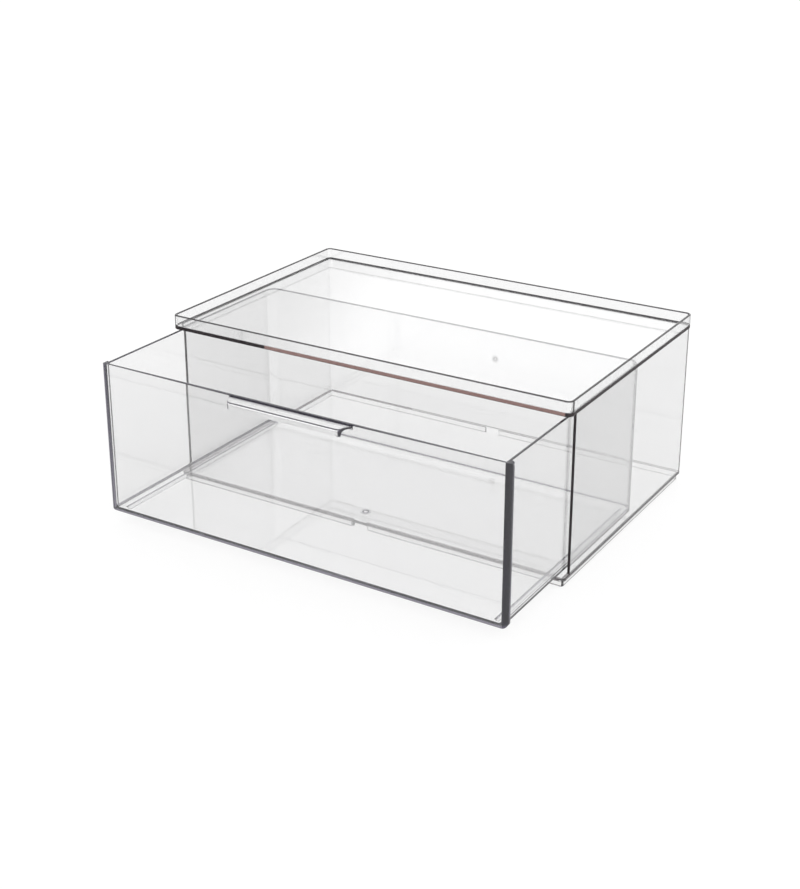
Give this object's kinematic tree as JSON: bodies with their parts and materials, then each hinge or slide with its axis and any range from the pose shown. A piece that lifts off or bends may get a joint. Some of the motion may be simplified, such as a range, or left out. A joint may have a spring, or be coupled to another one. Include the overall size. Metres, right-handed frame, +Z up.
{
  "type": "stackable drawer box",
  "caption": "Clear plastic drawer box: an open-fronted case with a raised stacking rim and a foot ring, and a drawer with a finger pull that slides out of it.",
  "frame": {"origin": "on the table, under the middle of the bounding box of the whole box with its drawer as far open as it is stored (94.3 mm)", "axes": "+X across the front, to the right of someone who faces the drawer front from outside; +Y towards the back wall, so the drawer opens towards -Y; +Z up"},
  "size_m": [0.368, 0.333, 0.152],
  "materials": {
    "clear_case": "clear rigid plastic, glossy as moulded",
    "clear_drawer": "clear rigid plastic, glossy as moulded"
  },
  "bodies": {
    "case": {"case_floor": "clear_case", "foot_ring_left": "clear_case", "foot_ring_right": "clear_case", "case_wall_left": "clear_case", "case_wall_right": "clear_case", "case_wall_back": "clear_case", "top_plate": "clear_case", "stacking_rim": "clear_case"},
    "drawer": {"drawer_floor": "clear_drawer", "drawer_wall_left": "clear_drawer", "drawer_wall_right": "clear_drawer", "drawer_wall_rear": "clear_drawer", "drawer_front": "clear_drawer", "pull_shelf": "clear_drawer", "pull_lip": "clear_drawer", "runner_left": "clear_drawer", "runner_right": "clear_drawer"}
  },
  "joints": [
    {"name": "drawer_slide", "type": "slide", "parent": "case", "child": "drawer", "axis": [0, -1, 0], "range_m": [-0.0943, 0.0857]}
  ]
}
